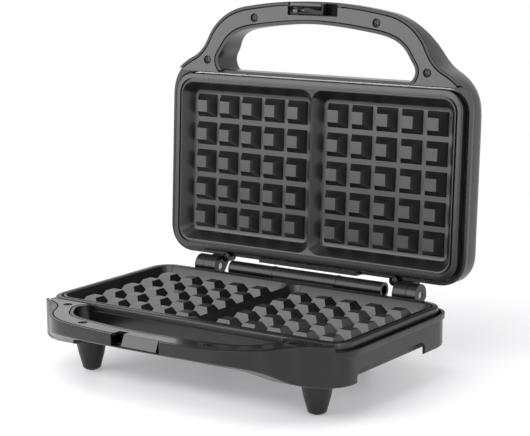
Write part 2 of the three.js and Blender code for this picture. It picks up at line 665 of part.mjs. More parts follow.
// Hollow barrel on the hinge line that the wires to the lid pass through
function tunnel() {
  const x = TUNNEL_HALF;
  const collars = [[x - 7, x - 5], [-x + 5, -x + 7]].map(([a, b]) => rodX(a, b, HINGE_Y, 0, TUNNEL_R + 0.4));
  const web = box(-x + 8, x - 8, HD + GAP, HINGE_Y + 3, 2, 15);
  const tube = rodX(-x, x, HINGE_Y, 0, TUNNEL_R);
  return cut(add(tube, ...collars, web), rodX(-x - 1, x + 1, HINGE_Y, 0, TUNNEL_BORE));
}

function thermostat() {
  return add(rod(0, 0, UNDER + GAP, UNDER + 4.6, 8.5), box(-5, 5, -12, 12, UNDER + 1.2, UNDER + 2.4));
}

function fuse() {
  const x = -30;
  const z = UNDER + GAP + 2;
  return add(rodX(x - 14, x + 14, 0, z, 2, 20), rodX(x - 18, x + 18, 0, z, 0.7, 10));
}

function terminals() {
  const z = TRAY_LOW + TERMINAL_CLEAR;
  return cut(box(-62, -40, 10, 26, z, z + TERMINAL_H), box(-60, -42, 12, 16, z - 1, z + 2),
    box(-60, -42, 20, 24, z - 1, z + 2));
}

function lens(x) {
  const r = LENS_R - GAP;
  const z = LID_H;
  const profile = [[0, z - 5], [r, z - 5], [r, z + 0.2], [r - 0.7, z + 0.9], [r - 2.1, z + 1.3], [0, z + 1.4]];
  return turned(profile, x, LENS_Y);
}

const group = new THREE.Group();
const baseTurn = new THREE.Matrix4().makeRotationY(Math.PI);
const lidTurn = new THREE.Matrix4().makeTranslation(0, HINGE_Y, 0)
  .multiply(new THREE.Matrix4().makeRotationX(-THREE.MathUtils.degToRad(OPEN_DEG)))
  .multiply(new THREE.Matrix4().makeTranslation(0, -HINGE_Y, 0));
const lift = new THREE.Matrix4().makeTranslation(0, 0, GROUND);

function place(name, body, matName, turn) {
  const [color, roughness, metalness] = MATS[matName];
  const g = toGeometry(body);
  g.applyMatrix4(turn);
  g.applyMatrix4(lift);
  const mesh = new THREE.Mesh(g, new THREE.MeshStandardMaterial({ color, roughness, metalness }));
  mesh.name = name;
  group.add(mesh);
}

const base = (name, body, mat) => place(name, body, mat, baseTurn);
const lid = (name, body, mat) => place(name, body, mat, lidTurn);
const SIDES = [[-1, 'left'], [1, 'right']];
const ENDS = [[-1, 'front'], [1, 'rear']];

function buildBase() {
  base('base_shell', baseShell(), 'satin');
  base('base_pan', pan(), 'dark');
  base('base_handle_cover', baseCover(), 'gloss');
  base('lower_plate', castPlate(), 'coated');
  base('lower_reflector', reflector(), 'steel');
  base('lower_element', element(), 'steel');
  base('lower_thermostat', thermostat(), 'bakelite');
  base('lower_thermal_fuse', fuse(), 'white');
  base('terminal_block', terminals(), 'white');
  base('cord_gland', glandPiece(), 'rubber');
  base('wire_tunnel', tunnel(), 'satin');
  SIDES.forEach(([k, word]) => buildBaseSide(k, word));
  for (const [k, word] of ENDS) base(`lower_plate_screw_${word}`, plateScrew(k), 'steel');
}

function buildBaseSide(k, word) {
  const feet = [[PAN_X - FRONT_FOOT_IN[0], -PAN_Y + FRONT_FOOT_IN[1]],
    [PAN_X - REAR_FOOT_IN[0], PAN_Y - REAR_FOOT_IN[1]]];
  feet.forEach(([x, y], i) => {
    base(`foot_${ENDS[i][1]}_${word}`, foot(-k * x, y), 'dark');
    base(`foot_pad_${ENDS[i][1]}_${word}`, rod(-k * x, y, GROUND - 1.5, GROUND, PAD_R), 'rubber');
  });
  for (const [s, end] of ENDS) {
    const under = PAN_LOW + GAP + HEAD_T;
    const body = screw(-k * (PAN_X - PAN_POST), s * (PAN_Y - PAN_POST), under, 9, true);
    base(`pan_screw_${end}_${word}`, body, 'steel');
  }
  SCREWS.forEach(([x, y], i) => base(`base_cover_screw_${word}_${i + 1}`, coverScrew(-k * x, y), 'steel'));
  const ends = [-k * (EAR_IN - LID_EAR_W + 0.6), -k * (EAR_OUT - 0.6)].sort((a, b) => a - b);
  base(`hinge_pin_${word}`, rodX(...ends, HINGE_Y, 0, PIN_R), 'steel');
}

function coverScrew(x, y) {
  return screw(x, y, FACE + 0.2, 7.4);
}

function plateScrew(k) {
  return screw(0, k * PLATE_BOSS_Y, TRAY_LOW + GAP + HEAD_T, 7, true);
}

function buildLid() {
  lid('lid_shell', lidShell(), 'satin');
  lid('lid_handle_cover', lidCover(), 'gloss');
  lid('upper_plate', castPlate(), 'coated');
  lid('upper_reflector', reflector(), 'steel');
  lid('upper_element', element(), 'steel');
  lid('upper_thermal_fuse', fuse(), 'white');
  lid('latch_slider', latch(), 'dark');
  for (const [k, word] of SIDES) {
    SCREWS.forEach(([x, y], i) => lid(`lid_cover_screw_${word}_${i + 1}`, coverScrew(k * x, y), 'steel'));
    lid(`lid_rear_screw_${word}`, screw(k * REAR_BOSS[0], REAR_BOSS[1], 1.4, 7.5), 'steel');
    const [lamp, colour] = k < 0 ? ['power', 'lampred'] : ['ready', 'lampgreen'];
    lid(`${lamp}_lens`, lens(k * LENS_X), colour);
    lid(`${lamp}_lamp`, rod(k * LENS_X, LENS_Y, LID_H - 14, LID_H - 7, 2.2), 'white');
  }
  for (const [k, word] of ENDS) lid(`upper_plate_screw_${word}`, plateScrew(k), 'steel');
}

buildBase();
buildLid();

// Stand the assembly with the middle of its footprint box at the origin
const span = new THREE.Box3().setFromObject(group);
const centre = span.getCenter(new THREE.Vector3());
group.children.forEach((mesh) => mesh.geometry.translate(-centre.x, -centre.y, -span.min.z));

export default group;
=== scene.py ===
import json
import math

import bmesh
import bpy
from mathutils import Matrix, Vector
from mathutils.geometry import interpolate_bezier


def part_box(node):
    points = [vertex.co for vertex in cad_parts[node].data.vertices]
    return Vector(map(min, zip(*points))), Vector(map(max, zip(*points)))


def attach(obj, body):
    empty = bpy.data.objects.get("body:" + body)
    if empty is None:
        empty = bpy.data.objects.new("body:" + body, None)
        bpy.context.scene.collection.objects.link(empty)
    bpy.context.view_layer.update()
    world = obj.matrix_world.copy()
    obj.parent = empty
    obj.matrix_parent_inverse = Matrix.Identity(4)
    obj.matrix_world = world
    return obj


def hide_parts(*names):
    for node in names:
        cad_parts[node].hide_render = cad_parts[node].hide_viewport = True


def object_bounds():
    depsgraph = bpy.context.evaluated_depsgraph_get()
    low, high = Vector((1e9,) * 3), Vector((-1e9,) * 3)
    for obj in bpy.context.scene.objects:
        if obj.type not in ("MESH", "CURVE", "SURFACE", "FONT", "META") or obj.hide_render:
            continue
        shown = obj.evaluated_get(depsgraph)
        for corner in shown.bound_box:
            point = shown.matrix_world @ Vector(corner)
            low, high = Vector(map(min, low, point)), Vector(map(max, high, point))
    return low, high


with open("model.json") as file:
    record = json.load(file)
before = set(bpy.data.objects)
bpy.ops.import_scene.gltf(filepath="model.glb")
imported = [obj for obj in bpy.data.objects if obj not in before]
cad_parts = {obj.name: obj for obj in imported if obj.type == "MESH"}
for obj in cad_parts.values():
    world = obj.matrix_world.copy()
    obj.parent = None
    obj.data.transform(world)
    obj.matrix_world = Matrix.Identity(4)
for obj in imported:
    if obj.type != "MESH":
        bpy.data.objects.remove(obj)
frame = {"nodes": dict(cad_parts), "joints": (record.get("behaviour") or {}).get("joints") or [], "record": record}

# ---------------------------------------------------------------------------
# Sizes, in metres. Each half of the maker is drawn in a frame of its own: x across, y from the handle to
# the hinge about the middle of the body, z away from the plane where the closed halves meet.
# ---------------------------------------------------------------------------
CAD_LOW, CAD_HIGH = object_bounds()
shell_low, shell_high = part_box("base_shell")
plate_low, plate_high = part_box("lower_plate")
HINGE = Vector(frame["joints"][0]["pos_m"])
OPEN_ANGLE = math.radians(frame["joints"][0]["range_deg"][1])

MID_Y = (plate_low.y + plate_high.y) / 2
RIM_CLEAR = 0.00125
WALL = 0.0025
HALF_W = shell_high.x
PLATE_X = plate_high.x
PLATE_Y = plate_high.y - MID_Y
HALF_D = PLATE_Y + RIM_CLEAR + WALL
FRONT = shell_low.y - MID_Y
HINGE_Y = HINGE.y - MID_Y
BASE_H = HINGE.z - shell_low.z
LID_H = 0.040
GAP = 0.0003
FACE = 0.00025
LIP = 0.0004
HANDLE_HALF = 0.1086
NECK_X = 0.1264
HANDLE_T = 0.0105
BAR = 0.0162
ROOM_R = 0.020
FLANGE_W = 0.0022
FLANGE_TOP = 0.005
FLANGE_LOW = 0.0095
SKIRT_IN = 0.002
ARM_OUT = 0.031
NECK_OUT = 0.0105
REAR_R = 0.024
HOLE_X = 0.0984
HOLE_FRONT = FRONT + WALL + BAR
COVER_T = 0.0024
COVER_SHY = 0.0010
ROOM_X = HALF_W - SKIRT_IN - WALL
ROOM_Y = HALF_D - WALL

HALF_TURN = Matrix.Rotation(math.pi, 4, "Y")
LIFT = Matrix.Translation((0, MID_Y, HINGE.z))
BASE_PLACE = LIFT @ HALF_TURN
LID_PLACE = (LIFT @ Matrix.Translation((0, HINGE_Y, 0)) @ Matrix.Rotation(-OPEN_ANGLE, 4, "X")
             @ Matrix.Translation((0, -HINGE_Y, 0)))
PLACES = {"base": BASE_PLACE, "lid": LID_PLACE, "latch": LID_PLACE}


# ---------------------------------------------------------------------------
# Shader helpers
# ---------------------------------------------------------------------------
class Wave:
    """A node socket that takes part in plain arithmetic."""

    def __init__(self, tree, socket):
        self.tree = tree
        self.socket = socket

    def _math(self, operation, *values):
        return self.tree.node("ShaderNodeMath", {"operation": operation}, dict(enumerate(values)))

    def __add__(self, other):
        return self._math("ADD", self, other)

    def __radd__(self, other):
        return self._math("ADD", other, self)

    def __sub__(self, other):
        return self._math("SUBTRACT", self, other)

    def __rsub__(self, other):
        return self._math("SUBTRACT", other, self)

    def __mul__(self, other):
        return self._math("MULTIPLY", self, other)

    def __rmul__(self, other):
        return self._math("MULTIPLY", other, self)

    def __pow__(self, other):
        return self._math("POWER", self, other)


class Shader:
    """A node tree; every node in it is made by node()."""

    def __init__(self, tree):
        self.nodes = tree.nodes
        self.links = tree.links
        self.nodes.clear()

    def node(self, kind, settings=None, inputs=None, output=0):
        made = self.nodes.new(kind)
        for key, value in (settings or {}).items():
            if key == "stops":
                ramp = made.color_ramp.elements
                while len(ramp) < len(value):
                    ramp.new(0.5)
                for stop, (place, tone) in zip(ramp, value):
                    stop.position = place
                    stop.color = (tone, tone, tone, 1)
            else:
                setattr(made, key, value)
        for key, value in (inputs or {}).items():
            if isinstance(value, Wave):
                self.links.new(value.socket, made.inputs[key])
            else:
                made.inputs[key].default_value = value
        return Wave(self, made.outputs[output]) if made.outputs else made

    def place(self, scale=(1, 1, 1)):
        where = self.node("ShaderNodeTexCoord", output="Object")
        return self.node("ShaderNodeMapping", None, {"Vector": where, "Scale": scale})

    def noise(self, scale, detail=2.0, stretch=(1, 1, 1), rough=0.5):
        inputs = {"Vector": self.place(stretch), "Scale": scale, "Detail": detail, "Roughness": rough}
        return self.node("ShaderNodeTexNoise", None, inputs)

    def ramp(self, value, *stops):
        return self.node("ShaderNodeValToRGB", {"stops": stops}, {"Fac": value})

    def tint(self, factor, low, high):
        return self.node("ShaderNodeMix", {"data_type": "RGBA"},
                         {"Factor": factor, "A": (*low, 1), "B": (*high, 1)}, output="Result")

    def bump(self, height, distance, strength=1.0):
        inputs = {"Height": height, "Distance": distance, "Strength": strength}
        return self.node("ShaderNodeBump", None, inputs)


class Finish(Shader):
    """One material, whose Principled shader is filled by surface()."""

    def __init__(self, name):
        self.material = bpy.data.materials.new(name)
        self.material.use_nodes = True
        super().__init__(self.material.node_tree)

    def surface(self, **inputs):
        shader = self.node("ShaderNodeBsdfPrincipled", None,
                           {key.replace("_", " "): value for key, value in inputs.items()})
        self.node("ShaderNodeOutputMaterial", None, {"Surface": shader})
        return self.material


def moulded(name, low, high, rough, grain=1400.0, depth=0.00004):
    """Satin moulded plastic: a fine spark-eroded grain, with faint uneven sheen."""
    f = Finish(name)
    broad = f.noise(9.0, 3.0)
    fine = f.noise(grain, 3.0)
    sheen = f.noise(35.0, 4.0)
    return f.surface(Base_Color=f.tint(broad, low, high), Roughness=rough - 0.05 + 0.1 * sheen,
                     Normal=f.bump(fine, depth, 0.5), IOR=1.45)


def polished(name, low, high, rough):
    """Glossy moulded plate: nearly a mirror, with the slight ripple of a thin moulding and hairline wear."""
    f = Finish(name)
    ripple = f.noise(22.0, 1.0)
    wear = f.ramp(f.noise(260.0, 5.0, (1, 9, 1)), (0.55, 0.0), (0.75, 1.0))
    return f.surface(Base_Color=f.tint(f.noise(14.0, 2.0), low, high), Roughness=rough + 0.06 * wear,
                     Normal=f.bump(ripple, 0.0002, 0.12), IOR=1.47, Coat_Weight=0.22, Coat_Roughness=0.06)


def coated(name, low, high):
    """Non-stick coating on a casting: dark, softly metallic, with a fine sprayed pebble."""
    f = Finish(name)
    pebble = f.noise(2600.0, 2.0)
    soft = f.noise(160.0, 3.0)
    height = pebble * 0.5 + soft
    gloss = 0.25 + 0.10 * f.noise(60.0, 3.0)
    return f.surface(Base_Color=f.tint(f.noise(30.0, 4.0), low, high), Metallic=0.05, Roughness=gloss,
                     Normal=f.bump(height, 0.00006, 0.55), IOR=1.6)


def metal(name, low, high, rough, along=(1, 1, 1)):
    """Drawn or rolled steel with a fine grain along one way."""
    f = Finish(name)
    grain = f.noise(900.0, 4.0, along)
    return f.surface(Base_Color=f.tint(f.noise(40.0, 4.0), low, high), Metallic=1.0,
                     Roughness=rough + 0.14 * grain, Normal=f.bump(grain, 0.00002, 0.4))


def chalky(name, low, high, rough, size):
    """Ceramic, resin or rubber: no gloss, with a mottle and a slight tooth."""
    f = Finish(name)
    mottle = f.noise(size, 5.0)
    patches = f.noise(size * 3, 3.0)
    tooth = f.noise(size * 8, 3.0)
    return f.surface(Base_Color=f.tint(mottle, low, high), Roughness=rough + 0.1 * patches,
                     Normal=f.bump(tooth, 0.00005, 0.5))


def jewel(name, low, high):
    """Clear coloured lens over a lamp."""
    f = Finish(name)
    haze = f.noise(300.0, 2.0)
    return f.surface(Base_Color=f.tint(f.noise(90.0, 2.0), low, high), Roughness=0.08 + 0.05 * haze,
                     Transmission_Weight=0.35, IOR=1.5)


MATERIALS = {
    "shell_plastic": moulded("satin_black", (0.003, 0.003, 0.0035), (0.006, 0.0058, 0.0066), 0.27),
    "dark_plastic": moulded("deep_black", (0.003, 0.0027, 0.0036), (0.006, 0.0054, 0.0068), 0.36,
                            1100.0, 0.00006),
    "latch_plastic": polished("latch_black", (0.006, 0.006, 0.006), (0.01, 0.01, 0.01), 0.16),
    "cover_gloss": polished("gloss_grey", (0.006, 0.006, 0.0065), (0.010, 0.010, 0.0107), 0.15),
    "coated_plate": coated("non_stick", (0.006, 0.006, 0.0065), (0.012, 0.012, 0.0126)),
    "screw_steel": metal("black_steel", (0.03, 0.03, 0.03), (0.07, 0.07, 0.07), 0.3),
    "sheet_steel": metal("sheet_steel", (0.42, 0.42, 0.43), (0.6, 0.6, 0.61), 0.28, (1, 8, 1)),
    "bright_steel": metal("tube_steel", (0.3, 0.29, 0.28), (0.5, 0.5, 0.5), 0.3, (6, 1, 1)),
    "bakelite": chalky("brown_resin", (0.05, 0.02, 0.01), (0.11, 0.05, 0.025), 0.5, 120.0),
    "ceramic": chalky("white_ceramic", (0.62, 0.6, 0.56), (0.8, 0.79, 0.75), 0.45, 200.0),
    "rubber": chalky("matt_rubber", (0.012, 0.012, 0.012), (0.03, 0.03, 0.03), 0.75, 150.0),
    "lens_red": jewel("red_lens", (0.4, 0.01, 0.01), (0.6, 0.03, 0.03)),
    "lens_green": jewel("green_lens", (0.02, 0.3, 0.05), (0.05, 0.45, 0.1)),
    "lamp_glass": chalky("lamp_glass", (0.6, 0.55, 0.5), (0.8, 0.78, 0.75), 0.2, 150.0),
}
SLOTS = {row["node"]: row["material_slot"] for row in frame["record"]["subparts"]}
BODIES = {node: body for body, nodes in frame["record"]["behaviour"]["bodies"].items() for node in nodes}


# ---------------------------------------------------------------------------
# Mesh helpers
# ---------------------------------------------------------------------------
def to_object(bm, name):
    """Closes a bmesh off into an object, with doubles merged and faces pointing out."""
    bmesh.ops.remove_doubles(bm, verts=bm.verts, dist=1e-6)
    bmesh.ops.recalc_face_normals(bm, faces=bm.faces)
    mesh = bpy.data.meshes.new(name)
    bm.to_mesh(mesh)
    bm.free()
    made = bpy.data.objects.new(name, mesh)
    bpy.context.scene.collection.objects.link(made)
    return made


def prism(loop, z0, z1):
    """A flat outline given thickness."""
    bm = bmesh.new()
    face = bm.faces.new([bm.verts.new((x, y, z0)) for x, y in loop])
    top = bmesh.ops.extrude_face_region(bm, geom=[face])["geom"]
    bmesh.ops.translate(bm, verts=[v for v in top if isinstance(v, bmesh.types.BMVert)], vec=(0, 0, z1 - z0))
    return to_object(bm, "tool")


def side_prism(loop, x0, x1):
    """An outline of y and z pairs, drawn out along x."""
    bm = bmesh.new()
    face = bm.faces.new([bm.verts.new((x0, y, z)) for y, z in loop])
    far = bmesh.ops.extrude_face_region(bm, geom=[face])["geom"]
    bmesh.ops.translate(bm, verts=[v for v in far if isinstance(v, bmesh.types.BMVert)], vec=(x1 - x0, 0, 0))
    return to_object(bm, "tool")


def block(x0, x1, y0, y1, z0, z1, edge=0.0, segments=2):
    bm = bmesh.new()
    bmesh.ops.create_cube(bm, size=1)
    bmesh.ops.scale(bm, verts=bm.verts, vec=(x1 - x0, y1 - y0, z1 - z0))
    bmesh.ops.translate(bm, verts=bm.verts, vec=((x0 + x1) / 2, (y0 + y1) / 2, (z0 + z1) / 2))
    if edge:
        bmesh.ops.bevel(bm, geom=bm.edges, offset=edge, affect="EDGES", segments=segments, profile=0.5,
                        material=-1)
    return to_object(bm, "tool")


def turned(profile, centre, axis="Z", steps=48):
    """A profile of radius and height pairs, spun round an axis."""
    bm = bmesh.new()
    verts = [bm.verts.new((r, 0, z)) for r, z in profile]
    edges = [bm.edges.new(pair) for pair in zip(verts, verts[1:])]
    bmesh.ops.spin(bm, geom=verts + edges, cent=(0, 0, 0), axis=(0, 0, 1), angle=2 * math.pi, steps=steps,
                   use_merge=True)
    if axis == "X":
        bmesh.ops.rotate(bm, verts=bm.verts, matrix=Matrix.Rotation(math.pi / 2, 3, "Y"))
    if axis == "Y":
        bmesh.ops.rotate(bm, verts=bm.verts, matrix=Matrix.Rotation(-math.pi / 2, 3, "X"))
    bmesh.ops.translate(bm, verts=bm.verts, vec=centre)
    return to_object(bm, "tool")


def half_skin(levels):
    """A skin drawn over the right half of a symmetric body, row by row, and mirrored; each row runs from
    the front of the middle plane to its rear."""
    bm = bmesh.new()
    station = bm.verts.layers.int.new("station")
    row = [bm.verts.new(p) for p in levels[0]]
    for i, vert in enumerate(row):
        vert[station] = i
    edges = [bm.edges.new(pair) for pair in zip(row, row[1:])]
    for level in levels[1:]:
        made = bmesh.ops.extrude_edge_only(bm, edges=edges)["geom"]
        fresh = [v for v in made if isinstance(v, bmesh.types.BMVert)]
        for vert in fresh:
            vert.co = level[vert[station]]
        known = set(fresh)
        edges = [e for e in made if isinstance(e, bmesh.types.BMEdge) and known.issuperset(e.verts)]
    bmesh.ops.remove_doubles(bm, verts=bm.verts, dist=1e-6)
    bmesh.ops.mirror(bm, geom=bm.verts[:] + bm.edges[:] + bm.faces[:], matrix=Matrix.Identity(4),
                     merge_dist=1e-6, axis="X")
    bmesh.ops.dissolve_degenerate(bm, edges=bm.edges, dist=1e-7)
    return to_object(bm, "tool")


def ring_skin(levels):
    """A skin through closed loops of equal length, with a face on each end."""
    bm = bmesh.new()
    station = bm.verts.layers.int.new("station")
    row = [bm.verts.new(p) for p in levels[0]]
    for i, vert in enumerate(row):
        vert[station] = i
    edges = [bm.edges.new(pair) for pair in zip(row, row[1:] + row[:1])]
    bm.faces.new(row)
    for level in levels[1:]:
        made = bmesh.ops.extrude_edge_only(bm, edges=edges)["geom"]
        fresh = [v for v in made if isinstance(v, bmesh.types.BMVert)]
        for vert in fresh:
            vert.co = level[vert[station]]
        known = set(fresh)
        edges = [e for e in made if isinstance(e, bmesh.types.BMEdge) and known.issuperset(e.verts)]
    bm.faces.new(sorted(fresh, key=lambda v: v[station]))
    return to_object(bm, "tool")


def combine(body, tools, operation):
    """Joins tools to a body or cuts them from it, and removes the tools."""
    for tool in tools:
        step = body.modifiers.new("step", "BOOLEAN")
        step.operation = operation
        step.solver = "EXACT"
        step.object = tool
    graph = bpy.context.evaluated_depsgraph_get()
    mesh = bpy.data.meshes.new_from_object(body.evaluated_get(graph))
    body.modifiers.clear()
    body.data = mesh
    for tool in tools:
        bpy.data.objects.remove(tool)
    return body


def cut(body, *tools):
    return combine(body, tools, "DIFFERENCE")


def join(body, *tools):
    return combine(body, tools, "UNION")


def finish_piece(made, name, body, nodes, slot, edge=0.0003, segments=2, angle=32, placed=True):
    """Puts a piece in place, rounds its edges, gives it its finish and its body."""
    made.name = name
    made.data.name = name
    if placed:
        made.data.transform(PLACES[body])
    made.data.materials.clear()
    made.data.materials.append(MATERIALS[slot])
    for face in made.data.polygons:
        face.use_smooth = True
        face.material_index = 0
    if edge:
        round_off = made.modifiers.new("round_edges", "BEVEL")
        round_off.width = edge
        round_off.segments = segments
        round_off.limit_method = "ANGLE"
        round_off.angle_limit = math.radians(angle)
        round_off.harden_normals = True
        round_off.use_clamp_overlap = True
    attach(made, body)
    if nodes:
        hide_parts(*nodes)
    return made


# ---------------------------------------------------------------------------
# Outlines
# ---------------------------------------------------------------------------
def trace(start, *pieces):
    """Points along Bezier pieces; each piece is (handle, handle, end, count), or (end, count) if straight."""
    points = [Vector((*start, 0))]
    for *bends, count in pieces:
        end = Vector((*bends[-1], 0))
        first = Vector((*bends[0], 0)) if len(bends) == 3 else points[-1].lerp(end, 1 / 3)
        second = Vector((*bends[1], 0)) if len(bends) == 3 else points[-1].lerp(end, 2 / 3)
        points += interpolate_bezier(points[-1], first, second, end, count + 1)[1:]
    return points


def plan_half():
    """Right half of either half's plan: bowed handle, waisted arm, square body with a round rear corner."""
    arm = -HALF_D - ARM_OUT
    neck = -HALF_D - NECK_OUT
    mid = NECK_X
    h = HANDLE_HALF
    return trace(
        (0, FRONT),
        ((h * 0.3, FRONT), (h * 0.48, FRONT + 0.003), (h * 0.65, FRONT + 0.006), 14),
        ((h * 0.81, FRONT + 0.009), (h * 0.93, arm - 0.013), (h, arm), 16),
        ((h + 0.0045, arm + 0.009), (mid - 0.010, neck - 0.005), (mid, neck), 12),
        ((mid + 0.015, neck + 0.0075), (HALF_W, neck + 0.016), (HALF_W, -HALF_D + 0.025), 20),
        ((HALF_W, HALF_D - REAR_R), 8),
        ((HALF_W, HALF_D - 0.009), (HALF_W - 0.010, HALF_D), (HALF_W - REAR_R, HALF_D), 14),
        ((0, HALF_D), 8))


def hole_half():
    """Right half of the finger opening."""
    f = HOLE_FRONT
    x = HOLE_X
    return trace(
        (0, f),
        ((x * 0.2, f), (x * 0.45, f + 0.0028), (x * 0.66, f + 0.006), 12),
        ((x * 0.81, f + 0.0088), (x * 0.88, f + 0.013), (x * 0.935, f + 0.021), 12),
        ((x * 0.98, f + 0.029), (x * 1.03, -HALF_D - 0.012), (x, -HALF_D - 0.005), 10),
        ((x * 0.985, -HALF_D - 0.002), (x * 0.965, -HALF_D), (x * 0.94, -HALF_D), 6),
        ((0, -HALF_D), 8))


def corner_half(x, y, r, steps=10):
    """Right half of a rectangle with round corners."""
    points = [Vector((0, -y, 0))]
    for cx, cy, start in ((x - r, -y + r, -90), (x - r, y - r, 0)):
        for i in range(steps + 1):
            a = math.radians(start + 90 * i / steps)
            points.append(Vector((cx + r * math.cos(a), cy + r * math.sin(a), 0)))
    points.append(Vector((0, y, 0)))
    return points


def outward(points):
    """Normals of a half outline, square to the middle plane at its ends."""
    normals = []
    for i, p in enumerate(points):
        a = points[max(i - 1, 0)]
        b = points[min(i + 1, len(points) - 1)]
        way = (b - a).normalized()
        normals.append(Vector((way.y, -way.x, 0)))
    normals[0] = Vector((0, -1, 0))
    normals[-1] = Vector((0, 1, 0))
    return normals


def offset(points, distance):
    """A half outline grown by a distance, or shrunk if it is negative."""
    return [p + n * distance for p, n in zip(points, outward(points))]


def mirrored(half):
    """The whole loop from its right half."""
    return [(p.x, p.y) for p in half] + [(-p.x, p.y) for p in reversed(half[1:-1])]


def ease(low, high, value):
    t = min(1.0, max(0.0, (value - low) / (high - low)))
    return t * t * (3 - 2 * t)


def mix(a, b, t):
    return a + (b - a) * t


def depth_curve(full):
    """How deep the casing is at each place from front to rear: thin at the handle, full at the body."""
    line = interpolate_bezier(Vector((FRONT, HANDLE_T, 0)), Vector((-HALF_D - 0.028, HANDLE_T + 0.0055, 0)),
                              Vector((-HALF_D - 0.024, full, 0)), Vector((-HALF_D - 0.002, full, 0)), 40)

    def depth(y):
        if y <= line[0].x:
            return line[0].y
        for a, b in zip(line, line[1:]):
            if y <= b.x:
                return mix(a.y, b.y, (y - a.x) / (b.x - a.x))
        return full

    return depth


PLAN = plan_half()
PLAN_OUT = outward(PLAN)
HOLE = hole_half()


def drawn_in(i, inset, share):
    """A plan point moved in by an inset: along its normal on the handle, towards the middle on the body."""
    p = PLAN[i]
    plain = p - PLAN_OUT[i] * inset
    scaled = Vector((p.x * (HALF_W - inset) / HALF_W, p.y * (HALF_D - inset) / HALF_D, 0))
    point = plain.lerp(scaled, share)
    if i in (0, len(PLAN) - 1):
        point.x = 0
    return point


LIP_ROUND = 0.0004
# Rows of the flange's edge: inset on the body, height on the handle, height past the flange on the body, and
# whether the row lies below the flange, where the skirt is taken in
FLANGE_ROWS = (
    (0.0, 0.0025, -0.0008, False),
    (0.0003, 0.0038, -0.0002, False),
    (0.0010, 0.0048, 0.0, False),
    (0.0, 0.0056, 0.0003, True),
    (0.0, 0.0064, 0.002, True),
)


def casing(depth, round_x, round_z, crown):
    """The outer form of a half: lip, flange, skirt and rounded underside, closed on both sides."""
    rows = []

    def body(y):
        return ease(-HALF_D - 0.028, -HALF_D - 0.004, y)

    def flange(y):
        return ease(-HALF_D + 0.002, -HALF_D + 0.024, y)

    def row(insets, heights, below=False):
        made = []
        for i, p in enumerate(PLAN):
            on_body = ease(-HALF_D - 0.022, -HALF_D + 0.012, p.y)
            point = drawn_in(i, insets(p.y), on_body)
            tucked = point.x * (1 - SKIRT_IN * flange(p.y) / HALF_W)
            made.append(Vector((tucked if below else point.x, point.y, heights(point.y))))
        rows.append(made)

    row(lambda y: LIP_ROUND, lambda y: LIP)
    row(lambda y: 0.0, lambda y: LIP + LIP_ROUND)
    for inset, on_handle, past_flange, below in FLANGE_ROWS:
        row(lambda y: inset * flange(y), lambda y: mix(on_handle, FLANGE_LOW + past_flange, body(y)), below)
    turns = 6
    for k in range(turns + 1):
        a = math.pi / 2 * k / turns
        row(lambda y: round_x(y) * (1 - math.cos(a)),
            lambda y: depth(y) - round_z(y) * (1 - math.sin(a)), True)
    for share in (0.35, 1.0):
        row(lambda y: round_x(y) + mix(0.003, 0.030, body(y)) * share,
            lambda y: depth(y) + crown * body(y) * share, True)
    top_axis = [Vector((0, p.y, LIP)) for p in rows[0]]
    low_axis = [Vector((0, p.y, p.z)) for p in rows[-1]]
    return half_skin([top_axis] + rows + [low_axis])


def finger_hole(depth, edge):
    """Cutter for the finger opening, flared where it leaves the underside."""
    rows = [[Vector((p.x, p.y, -0.002)) for p in HOLE]]
    for k in range(6):
        a = math.pi / 2 * k / 5
        grown = offset(HOLE, 1)
        made = []
        for p, q in zip(HOLE, grown):
            r = edge(p.y)
            out = (q - p) * r * (1 - math.cos(a))
            place = p + out
            past = 0.0002 if k == 5 else 0
            made.append(Vector((place.x, place.y, depth(p.y) - r + r * math.sin(a) + past)))
        rows.append(made)
    rows.append([Vector((p.x, p.y, LID_H + 0.02)) for p in rows[-1]])
    for r in rows:
        r[0].x = r[-1].x = 0
    start = [Vector((0, p.y, p.z)) for p in rows[0]]
    end = [Vector((0, p.y, p.z)) for p in rows[-1]]
    return half_skin([start] + rows + [end])


def handle_loop(outer_inset, hole_grow, rear):
    """The bowed plate between the plan and the finger opening, cut off square at the rear."""
    edge = offset(PLAN, -outer_inset)
    outer = [p for p in edge if p.y < rear]
    beyond = edge[len(outer)]
    outer.append(outer[-1].lerp(beyond, (rear - outer[-1].y) / (beyond.y - outer[-1].y)))
    inner = [p for p in offset(HOLE, hole_grow) if p.y < rear]
    inner.append(Vector((inner[-1].x, rear, 0)))
    right_out = [(p.x, p.y) for p in outer]
    right_in = [(p.x, p.y) for p in inner]
    right_out[0] = (0, right_out[0][1])
    right_in[0] = (0, right_in[0][1])
    left_in = [(-x, y) for x, y in right_in[1:]]
    left_out = [(-x, y) for x, y in reversed(right_out[1:])]
    return right_out + right_in[::-1] + left_in + left_out


# ---------------------------------------------------------------------------
# Casings
# ---------------------------------------------------------------------------
HINGE_OUT = HINGE_Y - HALF_D
BARREL_CLEAR = 0.0028
BARREL_HALF = 0.078
BARREL_RING = 0.0325
BARREL_WEB = 0.0305
BARREL_BORE = 0.0042
# Roundings of the casings' undersides, and the hollow of the lid
BASE_ROUND = 0.0022
HANDLE_ROUND = 0.0024
HOLE_ROUND = 0.009
DOME_R = 0.026
DOME_H = 0.0165
CROWN = 0.001
ROOM_STRAIGHT = 0.018
ROOF = 0.0035

